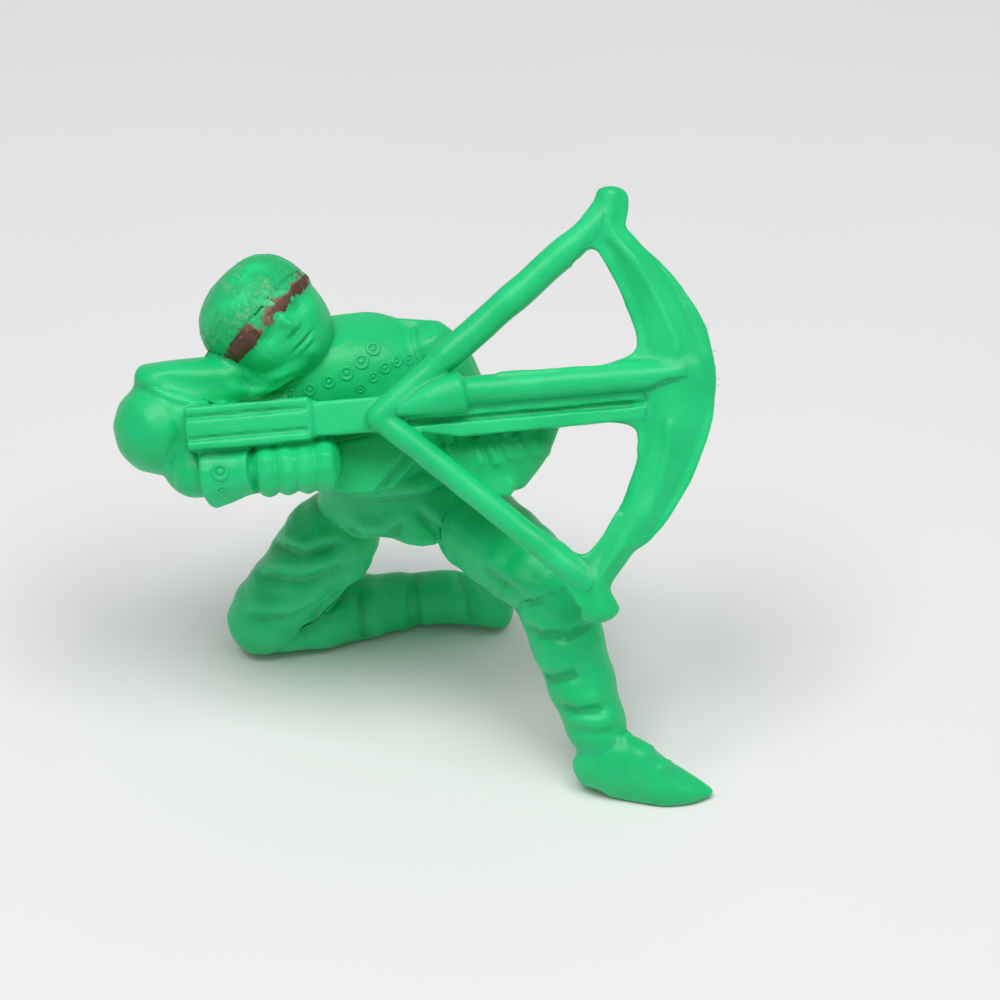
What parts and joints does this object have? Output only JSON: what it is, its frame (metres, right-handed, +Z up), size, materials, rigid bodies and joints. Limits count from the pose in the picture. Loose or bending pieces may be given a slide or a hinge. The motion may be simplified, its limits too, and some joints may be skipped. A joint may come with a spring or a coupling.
{
  "type": "toy warrior figure",
  "caption": "Kneeling toy crossbowman moulded in soft green plastic, aiming a drawn crossbow, with worn brown paint along the fringe under its cap.",
  "frame": {"origin": "middle of the figure's bounding box, on the ground it kneels on", "axes": "+X the way the crossbow is aimed, +Y towards the figure's back, +Z up"},
  "size_m": [0.047, 0.0271, 0.0452],
  "materials": {
    "green_plastic": "soft polyethylene, bright green, satin, scuffed on the cap",
    "brown_paint": "brown toy paint, dull, chipped and worn"
  },
  "bodies": {
    "root": {"head": "green_plastic", "cap": "green_plastic", "fringe": "brown_paint", "collar": "green_plastic", "jerkin": "green_plastic", "jerkin_studs": "green_plastic", "jerkin_hem": "green_plastic", "tunic_skirt": "green_plastic", "shoulder_cape": "green_plastic", "right_sleeve": "green_plastic", "right_forearm": "green_plastic", "right_gauntlet": "green_plastic", "gauntlet_studs": "green_plastic", "right_fist": "green_plastic", "left_sleeve": "green_plastic", "left_forearm": "green_plastic", "left_hand": "green_plastic", "right_thigh": "green_plastic", "right_shin": "green_plastic", "right_foot": "green_plastic", "left_thigh": "green_plastic", "left_shin": "green_plastic", "left_foot": "green_plastic", "butt": "green_plastic", "lock": "green_plastic", "tiller": "green_plastic", "bow": "green_plastic", "bowstring": "green_plastic", "bolt": "green_plastic"}
  },
  "joints": []
}
